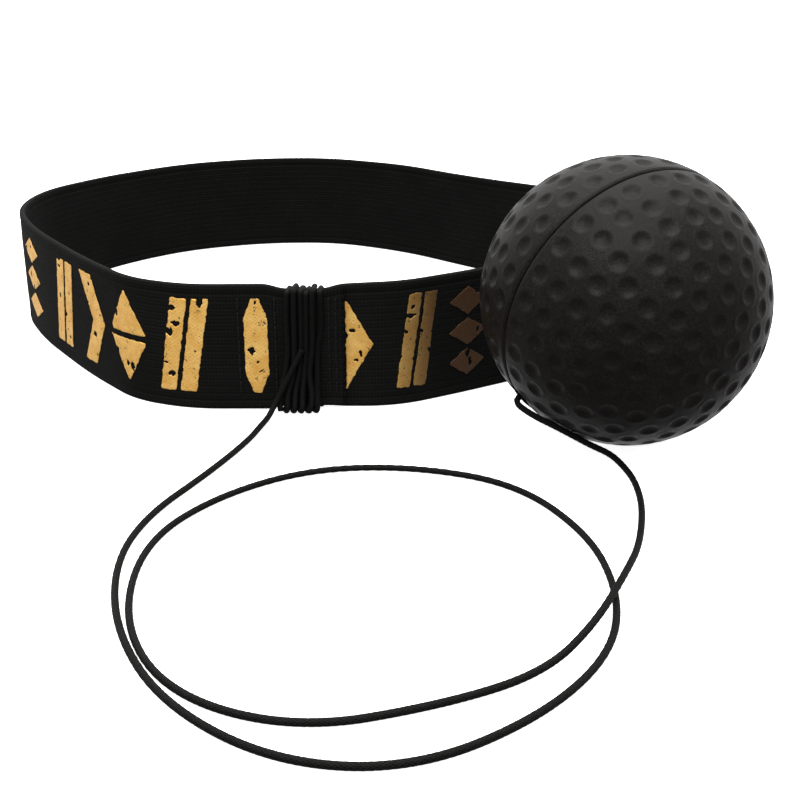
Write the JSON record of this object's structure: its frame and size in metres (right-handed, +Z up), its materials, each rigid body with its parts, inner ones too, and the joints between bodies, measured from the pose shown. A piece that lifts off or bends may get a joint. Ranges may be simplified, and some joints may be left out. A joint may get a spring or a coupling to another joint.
{
  "type": "reflex ball headband",
  "caption": "Black elastic headband with a gold foil print, and a round elastic cord lashed to it that carries a dimpled foam ball.",
  "frame": {"origin": "on the surface that the band and the ball stand on, at the centre of the box round the band and the ball, without the free cord", "axes": "+Z up, along the webbing's width; -Y towards the side where the cord is lashed to the band; +X from the lashing towards the ball"},
  "size_m": [0.1872, 0.284, 0.063],
  "materials": {
    "elastic_webbing": "matt knitted elastic",
    "latex_thread": "matt",
    "sewing_thread": "satin thread",
    "gold_foil": "worn satin foil",
    "elastic_cord": "braided, satin",
    "ball_foam": "matt moulded foam skin",
    "seam_glue": "satin"
  },
  "bodies": {
    "headband": {"webbing": "elastic_webbing", "rubber_threads": "latex_thread", "lap_stitching": "sewing_thread", "foil_needles": "gold_foil", "foil_stripes": "gold_foil", "foil_lozenges": "gold_foil", "foil_chevrons": "gold_foil", "foil_stacks": "gold_foil", "cord_lashing": "elastic_cord", "lashing_knot": "elastic_cord", "cord": "elastic_cord"},
    "cord_end": {"ball_knot": "elastic_cord"},
    "ball": {"ball_half_front": "ball_foam", "ball_half_rear": "ball_foam", "seam_glue": "seam_glue"}
  },
  "joints": [
    {"name": "ball_draw", "type": "slide", "parent": "headband", "child": "cord_end", "axis": [1, 0, 0], "range_m": [0, 0.12], "deforming": ["cord"]},
    {"name": "ball_spin", "type": "hinge", "parent": "cord_end", "child": "ball", "pos_m": [0.062, -0.066, 0.0315], "axis": [-0.7369, -0.235, -0.6339], "continuous": true}
  ]
}
